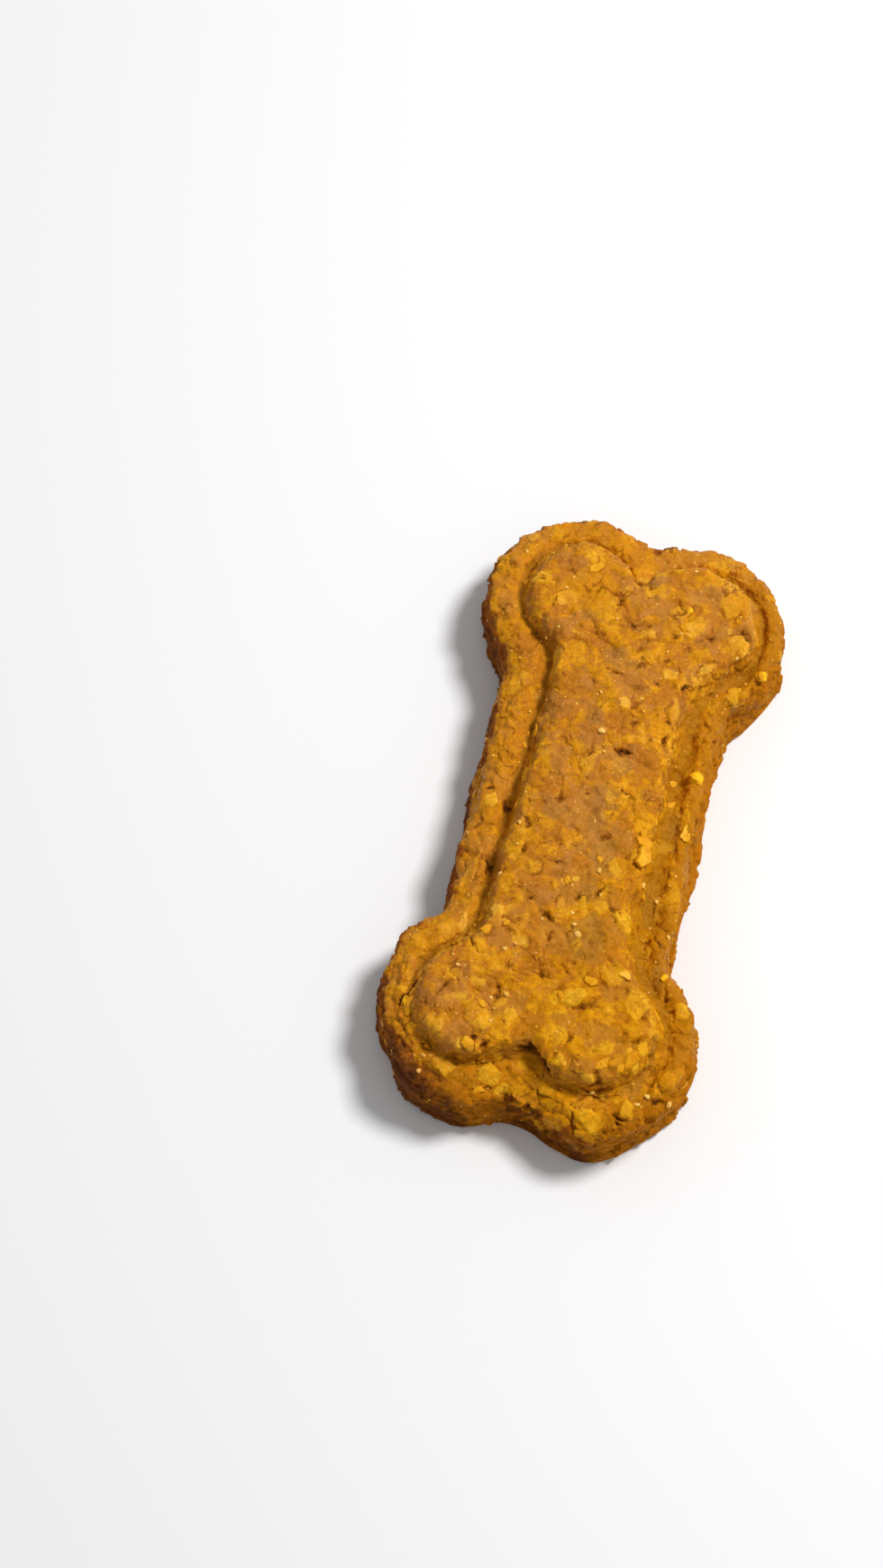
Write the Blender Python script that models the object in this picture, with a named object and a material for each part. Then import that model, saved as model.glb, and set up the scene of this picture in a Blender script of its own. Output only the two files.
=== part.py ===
"""A dog treat: an oat biscuit pressed in a bone-shaped mould, with a smaller raised bone on its top.

The bone lies along Y with its flat underside on Z = 0, and the origin is under the middle of its box.
Every size is in millimetres until the mesh is made, which is in metres.
"""
import cmath
import math
import random
from collections import namedtuple

import bpy
import numpy as np
from mathutils import Vector, geometry, noise

METRES = 0.001

# A bone is two round lobes at each end, joined by a broad shaft. No two of its lobes are quite alike.
# half_width is the shaft's beside that lobe, and fillet rounds the corner between lobe and shaft.
Lobe = namedtuple("Lobe", "x y radius half_width fillet")
# Both bones' lobes, anticlockwise from the near right one
WALL_LOBES = (
    Lobe(7.7, -27.1, 13.5, 15.5, 2.0),
    Lobe(6.6, 27.5, 12.5, 14.2, 3.6),
    Lobe(-8.0, 28.1, 11.9, 14.5, 4.4),
    Lobe(-5.5, -27.0, 12.9, 12.9, 3.4),
)
RAISED_LOBES = (
    Lobe(8.1, -27.0, 7.2, 9.4, 7.8),
    Lobe(6.9, 27.6, 7.1, 7.8, 7.8),
    Lobe(-7.8, 28.0, 6.5, 8.0, 5.5),
    Lobe(-6.4, -27.4, 7.0, 7.9, 7.8),
)
# The radius between the two lobes of the near end, and between those of the far end
WALL_NOTCHES = (8.0, 3.0)
RAISED_NOTCHES = (4.0, 1.3)

# Heights and roundings, from the underside up
FOOT_ROUND = 0.5
FOOT = ((0.6, 0.0), (0.1, 0.4))  # the foot's round: how far in and how far up, as shares of FOOT_ROUND
WALL_LEAN = 0.5                  # how far the wall leans in from its foot to the rim
RIM_HEIGHT = 9.4
RIM_ROUND = 1.5
# The flange between the rim and the raised bone, which ends in a groove that is wider at the right:
# share of the way in, height, and how much lower it is at the right
FLANGE = ((0.2, 9.85, 0.45), (0.45, 10.0, 1.2), (0.68, 9.8, 1.1), (0.86, 9.3, 0.5), (1.0, 8.9, 0.0))
RAISED_DRAFT = 0.2               # how far the raised bone's wall leans in
RAISED_HEIGHT = 12.7
RAISED_ROUND = 1.1
CROWN = 0.25                     # rise of the raised face at its middle line

# Where the hand-pressed dough departs from the mould
# The outline is pushed out, or in if less than 0, most at a place: x, y, reach, how far
PUSHES = (
    (3.9, -39.4, 7.0, -1.4),
    (12.6, -39.7, 5.0, 0.8),
    (-15.2, -35.2, 3.6, -1.2),
    (-18.3, -28.5, 8.0, -0.8),
)
SHAFT_FLARE = 1.0                # the left wall's foot spreads this far beside the shaft
FLARE_MIDDLE = -2.0
FLARE_REACH = 15.0
NOTCH_SAG = 2.0                  # the rim sinks this far at the near notch
SAG_PLACE = complex(1.0, -39.0)
SAG_REACH = 11.0
HOLLOW_PLACE = complex(2.6, -31.9)  # a hole at the foot of the raised bone's near notch
HOLLOW_REACH = 2.0
HOLLOW_DEPTH = 1.8
HOLLOW_TOP = 11.7                # the raised bone above this height keeps clear of it
RIGHT_RISE = 0.5                 # the rim stands this much higher at the right
RIGHT_SLOPE = 0.9                # the foot of the raised bone's right wall spreads this far
RIGHT_REACH = 9.0                # both in full from this far right of the middle
LEFT_SLOPE = 1.2                 # the top of its left wall is drawn in this far
LEFT_REACH = 7.0                 # in full from this far left of the middle

# Surface relief: the size of the lumps and how far they stand up or sink, and more so on the walls
RELIEF = ((17.0, 0.45), (6.0, 0.30), (2.8, 0.24))
LAYER_SHIFT = 40                 # between the noise of one layer of the relief and that of the next
WALL_ROUGHNESS = 1.5
UPWARD = (0.5, 0.9)              # a surface whose normal rises less is wall, and one that rises more is top
FLAKE_LIFT = 0.32
FLAKE_EDGE = (1.3, 0.7)          # a flake's lift starts and is full at these shares of the way out to its edge
# The largest oat flakes: x, y, length, width, turn in degrees
LARGE_FLAKES = (
    (12.4, -23.2, 4.4, 3.6, 70),
    (9.5, -37.0, 4.6, 3.6, 120),
    (7.2, -3.8, 3.8, 2.8, 20),
    (-5.9, -18.0, 4.6, 2.6, 35),
    (-11.9, -1.5, 4.4, 2.8, 100),
    (3.4, -29.6, 3.6, 3.4, 0),
    (8.0, -13.0, 4.4, 2.2, 110),
    (6.1, 26.2, 3.8, 2.4, 60),
    (0.7, 14.2, 2.8, 2.4, 0),
    (8.6, -32.6, 4.0, 2.8, 150),
    (4.6, -24.6, 3.6, 2.6, 30),
    (-5.6, -30.4, 4.2, 3.4, 160),
)
SMALL_FLAKES = 70
SMALL_FLAKE_SIZES = (1.8, 3.2)
SMALL_FLAKE_SHARES = (0.6, 0.95)  # a small flake's width as a share of its length
FLAKE_SEED = 11

# Mesh density
LOBE_STEPS = 26
SHAFT_STEPS = 21
FILLET_STEPS = 3
NOTCH_STEPS = 5
WALL_STEPS = 4
RIM_STEPS = 4
RAISED_WALL_STEPS = 2
RAISED_ROUND_STEPS = 3
TOP_SPACING = 1.3
UNDERSIDE_SPACING = 4.0
EDGE_CLEARANCE = 0.6             # points within a ring keep this share of their spacing from it

DOUGH_COLOUR = (0.50, 0.20, 0.025, 1.0)
DOUGH_ROUGHNESS = 0.75


def meet(a, reach_a, b, reach_b):
    """The point at those distances from a and from b, on the right of the way from a to b."""
    way = b - a
    gap = abs(way)
    along = (reach_a ** 2 - reach_b ** 2 + gap ** 2) / (2 * gap)
    aside = math.sqrt(reach_a ** 2 - along ** 2)
    return a + way / gap * complex(along, -aside)


def arc(centre, start, end, steps, turn):
    """Points on a circle from start up to, but without, end. Turn is 1 anticlockwise, -1 clockwise."""
    first = cmath.phase(start - centre)
    sweep = turn * (cmath.phase(end - centre) - first) % math.tau
    return centre + abs(start - centre) * np.exp(1j * (first + turn * sweep * np.arange(steps) / steps))


def bone(lobes, notches, inset):
    """A bone's outline moved in by inset, as complex numbers, anticlockwise from its near notch."""
    centres = [complex(lobe.x, lobe.y) for lobe in lobes]
    radii = [lobe.radius - inset for lobe in lobes]

    def touch(k, point):
        """Where lobe k meets a round whose centre is that point."""
        away = point - centres[k]
        return centres[k] + away / abs(away) * radii[k]

    def corner(k):
        """The centre of the fillet between lobe k and the shaft, and where the fillet meets the shaft."""
        fillet = lobes[k].fillet + inset
        shaft_x = math.copysign(lobes[k].half_width - inset, lobes[k].x)
        x = shaft_x + math.copysign(fillet, lobes[k].x)
        rise = math.sqrt((radii[k] + fillet) ** 2 - (x - lobes[k].x) ** 2)
        y = lobes[k].y - math.copysign(rise, lobes[k].y)
        return complex(x, y), complex(shaft_x, y)

    def notch(before, after, radius):
        """The centre of the round between two lobes of one end."""
        return meet(centres[before], radii[before] + radius, centres[after], radii[after] + radius)

    near = notch(3, 0, notches[0] + inset)
    far = notch(1, 2, notches[1] + inset)
    pieces = []
    for before, first, second, behind, ahead in ((3, 0, 1, near, far), (1, 2, 3, far, near)):
        first_corner, shaft_start = corner(first)
        second_corner, shaft_end = corner(second)
        pieces += [
            arc(behind, touch(before, behind), touch(first, behind), NOTCH_STEPS, -1),
            arc(centres[first], touch(first, behind), touch(first, first_corner), LOBE_STEPS, 1),
            arc(first_corner, touch(first, first_corner), shaft_start, FILLET_STEPS, -1),
            shaft_start + (shaft_end - shaft_start) * np.arange(SHAFT_STEPS) / SHAFT_STEPS,
            arc(second_corner, shaft_end, touch(second, second_corner), FILLET_STEPS, -1),
            arc(centres[second], touch(second, second_corner), touch(second, ahead), LOBE_STEPS, 1),
        ]
    return np.concatenate(pieces)


def smooth(t):
    """An even step from 0 to 1 as t goes from 0 to 1."""
    t = np.clip(t, 0.0, 1.0)
    return t * t * (3 - 2 * t)


def bump(distance, reach):
    """1 at no distance, falling evenly to 0 at reach."""
    return 1 - smooth(distance / reach)


def outward(ring):
    """The way out of an anticlockwise ring at each of its points."""
    way = np.roll(ring, -1) - np.roll(ring, 1)
    return -1j * way / abs(way)


def facing(ring, reach):
    """How much each point of a ring is on its right side, or on its left side where reach is less than 0."""
    side = math.copysign(1, reach)
    return smooth(ring.real / reach) * smooth(side * outward(ring).real)


def quarter(steps):
    """How far in and how far up each step of a quarter round is, as shares of its radius."""
    angles = np.arange(1, steps + 1) / steps * math.pi / 2
    return zip(1 - np.cos(angles), np.sin(angles))


def sides():
    """Rings from the underside's edge up to the raised face's edge, each an outline and its heights."""
    foot = bone(WALL_LOBES, WALL_NOTCHES, 0)
    flare = SHAFT_FLARE * bump(abs(foot.imag - FLARE_MIDDLE), FLARE_REACH) * (foot.real < 0)
    push = sum(far * bump(abs(foot - complex(x, y)), reach) for x, y, reach, far in PUSHES)
    rings = []

    def add_wall(inset, height):
        """A ring of the outer wall or the rim, spread at the left and sunk at the near notch."""
        ring = bone(WALL_LOBES, WALL_NOTCHES, inset)
        ring += push * outward(ring) - flare * bump(height, RIM_HEIGHT)
        rise = RIGHT_RISE * facing(ring, RIGHT_REACH) - NOTCH_SAG * bump(abs(ring - SAG_PLACE), SAG_REACH)
        rings.append((ring, height * (1 + rise / RIM_HEIGHT)))

    for inward, upward in FOOT:
        add_wall(FOOT_ROUND * inward, FOOT_ROUND * upward)
    rim_foot = RIM_HEIGHT - RIM_ROUND
    for t in np.arange(WALL_STEPS + 1) / WALL_STEPS:
        add_wall(WALL_LEAN * t, FOOT_ROUND + (rim_foot - FOOT_ROUND) * t)
    for inward, upward in quarter(RIM_STEPS):
        add_wall(WALL_LEAN + RIM_ROUND * inward, rim_foot + RIM_ROUND * upward)

    rim, rim_height = rings[-1]
    risen = rim_height - RIM_HEIGHT
    raised_foot = bone(RAISED_LOBES, RAISED_NOTCHES, -RAISED_ROUND / 2 - RAISED_DRAFT)
    right = facing(raised_foot, RIGHT_REACH)
    spread = RIGHT_SLOPE * right * outward(raised_foot)
    drawn_in = LEFT_SLOPE * facing(raised_foot, -LEFT_REACH) * outward(raised_foot)
    for t, height, lower in FLANGE:
        rings.append((rim + (raised_foot + spread - rim) * t, height - lower * right + risen * (1 - t)))

    shoulder = RAISED_HEIGHT - RAISED_ROUND
    groove_height = rings[-1][1]
    for t in np.arange(1, RAISED_WALL_STEPS + 1) / RAISED_WALL_STEPS:
        ring = bone(RAISED_LOBES, RAISED_NOTCHES, -RAISED_ROUND / 2 - RAISED_DRAFT * (1 - t))
        rings.append((ring + spread * (1 - t) - drawn_in * t, groove_height + (shoulder - groove_height) * t))
    for inward, upward in quarter(RAISED_ROUND_STEPS):
        ring = bone(RAISED_LOBES, RAISED_NOTCHES, RAISED_ROUND * (inward - 0.5)) - drawn_in
        rings.append((ring, np.full(len(ring), shoulder + RAISED_ROUND * upward)))
    return rings


def inside(points, ring):
    """Which points lie within a closed ring, by how often a line to the right crosses it."""
    ahead = np.roll(ring, -1)
    x, y = points.real[:, None], points.imag[:, None]
    spans = (ring.imag > y) != (ahead.imag > y)
    rise = np.where(spans, ahead.imag - ring.imag, 1.0)
    crossing = ring.real + (y - ring.imag) * (ahead.real - ring.real) / rise
    return (spans & (x < crossing)).sum(axis=1) % 2 == 1


def fill(ring, spacing):
    """Points evenly spread within a ring, and the triangles that join them and the ring."""
    rows = np.arange(ring.imag.min(), ring.imag.max(), spacing * math.sin(math.pi / 3))
    columns = np.arange(ring.real.min(), ring.real.max(), spacing)
    grid = np.array([complex(x + spacing / 2 * (k % 2), y) for k, y in enumerate(rows) for x in columns])
    clear = abs(grid[:, None] - ring).min(axis=1) > EDGE_CLEARANCE * spacing
    grid = grid[inside(grid, ring) & clear]
    flat = [Vector((p.real, p.imag)) for p in np.concatenate([ring, grid])]
    _, _, triangles, sources, _, _ = geometry.delaunay_2d_cdt(flat, [], [range(len(ring))], 1, 1e-6)
    return grid, [[sources[corner][0] for corner in triangle] for triangle in triangles]


def plain_shape():
    """The biscuit's points and faces before its relief."""
    rings = sides()
    count = len(rings[0][0])
    points = [(p.real, p.imag, z) for ring, heights in rings for p, z in zip(ring, heights)]
    faces = []
    for lower in range(0, (len(rings) - 1) * count, count):
        for k in range(count):
            right = (k + 1) % count
            faces.append((lower + k, lower + right, lower + count + right, lower + count + k))

    face_edge, face_height = rings[-1]
    grid, triangles = fill(face_edge, TOP_SPACING)
    after_ring = len(points) - count
    faces += [[after_ring + corner for corner in triangle] for triangle in triangles]
    half = abs(face_edge.real).max()
    points += [(p.real, p.imag, face_height[0] + CROWN * (1 - (p.real / half) ** 2)) for p in grid]

    underside_edge = rings[0][0]
    grid, triangles = fill(underside_edge, UNDERSIDE_SPACING)
    after_ring = len(points) - count
    faces += [
        [corner if corner < count else after_ring + corner for corner in reversed(triangle)]
        for triangle in triangles
    ]
    points += [(p.real, p.imag, 0.0) for p in grid]
    return points, faces


def all_flakes():
    """The largest flakes and the scattered smaller ones."""
    draw = random.Random(FLAKE_SEED)
    reach_x = max(abs(lobe.x) + lobe.radius for lobe in WALL_LOBES)
    reach_y = max(abs(lobe.y) + lobe.radius for lobe in WALL_LOBES)
    flakes = list(LARGE_FLAKES)
    for _ in range(SMALL_FLAKES):
        length = draw.uniform(*SMALL_FLAKE_SIZES)
        width = length * draw.uniform(*SMALL_FLAKE_SHARES)
        place = draw.uniform(-reach_x, reach_x), draw.uniform(-reach_y, reach_y)
        flakes.append((*place, length, width, draw.uniform(0, 180)))
    return flakes


def flake_cover(x, y, flake):
    """1 well within a flake, falling to 0 past its edge."""
    middle_x, middle_y, length, width, turn = flake
    away = complex(x - middle_x, y - middle_y) * cmath.exp(-1j * math.radians(turn))
    start, full = FLAKE_EDGE
    return smooth((start - math.hypot(away.real / length * 2, away.imag / width * 2)) / (start - full))


def relief(x, y, z, upward, flakes):
    """How far the surface stands out from the plain shape at a point, by lumps, flakes and the hollow."""
    out = 0.0
    for layer, (size, depth) in enumerate(RELIEF):
        out += depth * noise.noise(Vector((x, y, z + LAYER_SHIFT * layer)) / size)
    low, high = UPWARD
    facing_up = smooth((upward - low) / (high - low))
    out *= WALL_ROUGHNESS + (1 - WALL_ROUGHNESS) * facing_up
    out += FLAKE_LIFT * facing_up * max(flake_cover(x, y, flake) for flake in flakes)
    out -= HOLLOW_DEPTH * bump(abs(complex(x, y) - HOLLOW_PLACE), HOLLOW_REACH) * (z < HOLLOW_TOP)
    return out


def rough(mesh):
    """Moves each point of the mesh out by the relief, and keeps the underside flat."""
    flakes = all_flakes()
    moved = []
    for vertex, facing in zip(mesh.vertices, mesh.vertex_normals):
        x, y, z = vertex.co
        way = Vector(facing.vector)
        if z < FOOT_ROUND:
            way.z = 0.0
        edge = min(1.0, way.length)
        moved.append(vertex.co + way * edge * relief(x, y, z, way.z, flakes))
    return np.array(moved)


def dough_material():
    material = bpy.data.materials.new("oat_dough")
    material.use_nodes = True
    shader = material.node_tree.nodes["Principled BSDF"]
    shader.inputs["Base Color"].default_value = DOUGH_COLOUR
    shader.inputs["Roughness"].default_value = DOUGH_ROUGHNESS
    shader.inputs["Metallic"].default_value = 0.0
    return material


def biscuit():
    """Makes the one solid: the whole biscuit, with its flakes baked into it."""
    points, faces = plain_shape()
    mesh = bpy.data.meshes.new("biscuit")
    mesh.from_pydata(points, [], faces)
    places = rough(mesh)
    places[:, :2] -= (places[:, :2].min(axis=0) + places[:, :2].max(axis=0)) / 2
    mesh.vertices.foreach_set("co", (places * METRES).ravel())
    mesh.update()
    mesh.shade_smooth()
    mesh.materials.append(dough_material())
    bpy.context.scene.collection.objects.link(bpy.data.objects.new("biscuit", mesh))


def main():
    for old in list(bpy.data.objects):
        bpy.data.objects.remove(old)
    biscuit()


main()
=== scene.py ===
"""Looks of a bone-shaped dog treat: its baked dough, oat flakes and crumbs, with floor, light and camera.

Lengths are in millimetres but for the stage's, and turns in the tables are in degrees. The scene is in
metres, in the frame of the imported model. Marks that the photograph shows are given by its pixels and land
on the dough's surface.
"""

import math
import random
from collections import namedtuple

import bmesh
import bpy
import numpy as np
from mathutils import Matrix, Vector, noise
from mathutils.bvhtree import BVHTree
from mathutils.kdtree import KDTree


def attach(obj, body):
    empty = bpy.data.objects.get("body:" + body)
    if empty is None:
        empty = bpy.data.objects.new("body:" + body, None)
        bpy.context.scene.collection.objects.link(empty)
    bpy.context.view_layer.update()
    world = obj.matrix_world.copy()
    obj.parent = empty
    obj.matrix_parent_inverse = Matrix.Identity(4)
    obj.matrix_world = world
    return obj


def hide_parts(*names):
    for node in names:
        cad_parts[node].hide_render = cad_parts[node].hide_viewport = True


MM = 0.001

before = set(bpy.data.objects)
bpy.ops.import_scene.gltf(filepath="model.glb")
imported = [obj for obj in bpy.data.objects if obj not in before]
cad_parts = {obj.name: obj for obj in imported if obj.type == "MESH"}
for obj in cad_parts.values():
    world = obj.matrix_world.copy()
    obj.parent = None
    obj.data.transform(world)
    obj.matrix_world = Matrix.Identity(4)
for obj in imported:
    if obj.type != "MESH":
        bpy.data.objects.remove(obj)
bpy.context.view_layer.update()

# The photograph's view: its size in pixels, and the camera's place about the biscuit
PHOTO_WIDTH, PHOTO_HEIGHT = 980, 1741
CAMERA_AZIMUTH = 15.3
CAMERA_ELEVATION = 67.3
CAMERA_ROLL = 0.4
CAMERA_DISTANCE = 467.4
FOCAL_PIXELS = 4214.0
AIM_HEIGHT = 8.0                       # the point this far above the origin lands on the aim pixel
AIM_PIXEL = (653.3, 910.1)
SENSOR = 36.0

# Stage, in metres and watts: the lamp's place, width and power, the sky's strength and the floor
LAMP_WAY = (0.45, 0.36, 0.95)
LAMP_DISTANCE = 0.6
LAMP_SIZE = 0.165
LAMP_POWER = 3.3
SKY = 0.40
FLOOR_SIZE = 6.0
FLOOR_COLOUR = (0.85, 0.85, 0.85, 1.0)

# The dough's mesh
SEED = 5
VOXEL = 0.235
MOST_TRIANGLES = 190000
UNDERSIDE_SPARED = 0.8                 # share of the underside's triangles that it can do without
WELD = 0.002                           # points of the CAD mesh that are this near are one
GROOVE_PASSES = 130                    # the more, the wider the hollows that count as grooves
HOLLOW_PASSES = 40                     # the same for the small hollows between crumbs

# Heights of its parts, and how far in the outer ones reach from the outline, seen from above
UNDERSIDE_LEVEL, UNDERSIDE_FADE = 0.35, 0.2
WALL_LEVEL = 8.4                       # the outer wall is below this height
FLANGE_LEVEL, FLANGE_FADE = 10.6, 0.8  # the flange is below this one
WALL_WIDTH, WALL_FADE = 1.1, 0.9       # the browned wall, partly darkened with painted shade, and how gradually it ends
WALL_WAVES = (3.0, 0.9)                # size and reach of the waves that make its edge uneven
RIM_WIDTH, RIM_FADE = 3.6, 1.6         # the toasted rim, in the same way
RIM_START, RIM_FULL = 9.0, 14.0        # it starts here and is in full further right
NEAR_WALL = 1.4                        # the browned wall, there partly painted shade, reaches this much further in at the left of the near end
NEAR_BROWNING_AND_SHADE = 0.7                    # and is this much darker there, partly browning and partly painted shade
NEAR_END = (-31.5, -37.5)              # which starts here along the bone, and is in full at the second
NEAR_LEFT = (2.0, -6.0)                # the same across the bone

# The raised bone's edge and its groove are softer towards the right, and shallow at the near end
SOFTENING = 26                         # passes that round the top's edges and fill its grooves
SOFT_LEFT, SOFT_RIGHT = -7.0, 6.0      # least from here to the left, and in full from here to the right
LEAST_SOFT = 0.22
TOP_START, TOP_FADE = 1.0, 1.4         # the top starts this far below WALL_LEVEL, this gradually
SHALLOW_START, SHALLOW_FULL = -24.0, -29.0
SHALLOW_FILL = 0.9                     # at the near end the groove is filled by that share
SHALLOW_PALER = 0.7                    # and lacks that share of its colour, which is olive and partly painted shade

# Relief of the dough: size of the lumps, and how far they stand up or sink
RELIEF = ((5.0, 0.34), (2.4, 0.24), (1.15, 0.14), (0.55, 0.06))
MOST_SUNK, MOST_RAISED = -0.9, 0.45
FOOT_FADE = 0.5                        # it fades out this far above the underside
# Crumbs that the dough is made of: size, step up or down, slope, and the crease beside some of them
CRUMB_LAYERS = ((2.8, 0.08, 0.08, 0.08), (1.3, 0.08, 0.20, 0.08))
CREASED_CRUMBS = 0.4                   # share of them that have a crease
CRUMB_CREASE = 0.12                    # and its width
WARP = ((1.4, 0.35), (0.6, 0.14))      # size and reach of the waves that make outlines uneven
WALL_RELIEF = 1.6                      # times as rough on the outer wall
LAYERS = (7.0, 0.8, 0.30)              # the wall's pressed layers: length, thickness and relief
PAINTED_LIGHT_WAY = (0.97, -0.10, 0.20)        # the wall that faces this way, towards the lamp's side, is the palest: painted light
# The dough is yellower towards the near right: from none to full between these, further right at the far end
WARM_LEFT, WARM_RIGHT, WARM_TURN = -0.5, 11.5, -0.35

# Oat flakes pressed into the dough, as the photograph shows them:
# pixel across and down, length, width, turn of the length from level, tone from deep gold 0 to pale 1
FLAKES = (
    (672, 677, 5.0, 4.0, 80, 0.25), (628, 663, 3.0, 2.2, 30, 0.75), (602, 640, 2.6, 2.0, 10, 0.6),
    (716, 648, 2.8, 1.1, -20, 0.9), (754, 679, 2.6, 1.9, 25, 0.55), (770, 697, 3.4, 2.3, 45, 0.6),
    (812, 672, 4.2, 2.6, 85, 0.5), (820, 714, 3.2, 2.8, -50, 0.6), (719, 704, 2.2, 1.6, 0, 0.7),
    (832, 769, 3.4, 1.7, 15, 0.15), (784, 743, 1.9, 1.1, 30, 0.8), (743, 750, 1.9, 1.6, 0, 0.75),
    (694, 779, 1.8, 1.6, 60, 0.9), (750, 797, 3.8, 2.4, 75, 0.3), (652, 846, 2.6, 1.8, 80, 0.4),
    (676, 888, 2.8, 1.1, 85, 0.6), (590, 961, 2.8, 1.5, 5, 0.35), (514, 1028, 3.9, 1.2, 62, 0.9),
    (496, 1032, 3.8, 2.6, 60, 0.3), (521, 968, 4.4, 1.5, 80, 0.35), (552, 1011, 2.1, 1.9, 80, 0.65),
    (575, 1025, 2.7, 1.9, 10, 0.35), (635, 1107, 3.4, 2.4, 10, 0.75), (532, 1128, 3.9, 3.3, 100, 0.35),
    (566, 1127, 1.8, 1.7, 0, 0.8), (507, 1106, 2.9, 1.4, 5, 0.4), (618, 1149, 2.4, 2.2, -40, 0.6),
    (668, 1007, 2.3, 2.1, 90, 0.5), (638, 976, 1.5, 0.9, 0, 0.9), (695, 1023, 3.6, 2.0, -62, 0.75),
    (748, 995, 8.0, 1.3, 82, 0.2), (681, 1083, 4.0, 2.8, 20, 0.4), (720, 1057, 1.5, 1.0, 10, 0.75),
    (707, 1114, 3.6, 3.0, 80, 0.65), (707, 1142, 3.2, 2.8, 0, 0.05), (757, 1125, 2.4, 1.6, 70, 0.6),
    (732, 1134, 3.0, 0.8, -68, 0.7), (431, 1100, 2.5, 1.5, 80, 0.25), (475, 1136, 2.3, 1.7, 60, 0.5),
    (487, 1139, 1.7, 1.2, 60, 0.7), (512, 1158, 1.5, 1.4, 0, 0.9), (526, 1163, 1.8, 1.5, 50, 0.35),
    (541, 1193, 2.8, 2.4, -10, 0.65), (576, 1210, 3.2, 1.3, 0, 0.3), (538, 1219, 1.9, 1.1, 0, 0.7),
    (579, 1183, 1.7, 1.6, 0, 0.55), (620, 1178, 1.9, 1.6, 0, 0.7), (651, 1196, 2.2, 1.3, -30, 0.95),
    (607, 1210, 1.9, 1.5, 0, 0.85), (672, 1163, 3.0, 2.0, 20, 0.4), (704, 1189, 1.5, 1.2, 60, 0.8),
    (742, 1198, 5.8, 1.7, 36, 0.1), (693, 1235, 2.8, 1.7, 80, 0.55), (449, 1172, 3.3, 2.2, -50, 0.45),
    (556, 1211, 2.6, 1.7, 65, 0.7), (657, 1247, 3.0, 2.4, -60, 0.5), (647, 1236, 2.2, 1.8, 30, 0.75),
)
# Flakes that stand proud of it, in the same way
PROUD_FLAKES = (
    (594, 812, 1.9, 1.1, 80, 0.5), (585, 859, 1.9, 1.6, 20, 0.4), (714, 951, 2.9, 2.1, 20, 0.7),
    (717, 935, 3.0, 1.7, 0, 0.35), (749, 871, 2.1, 1.6, 20, 0.8), (762, 926, 2.8, 1.0, 80, 0.9),
    (544, 888, 2.2, 1.8, 60, 1.0), (693, 1083, 1.4, 0.9, -15, 1.0), (454, 1118, 2.7, 1.1, 75, 0.45),
)
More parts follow.
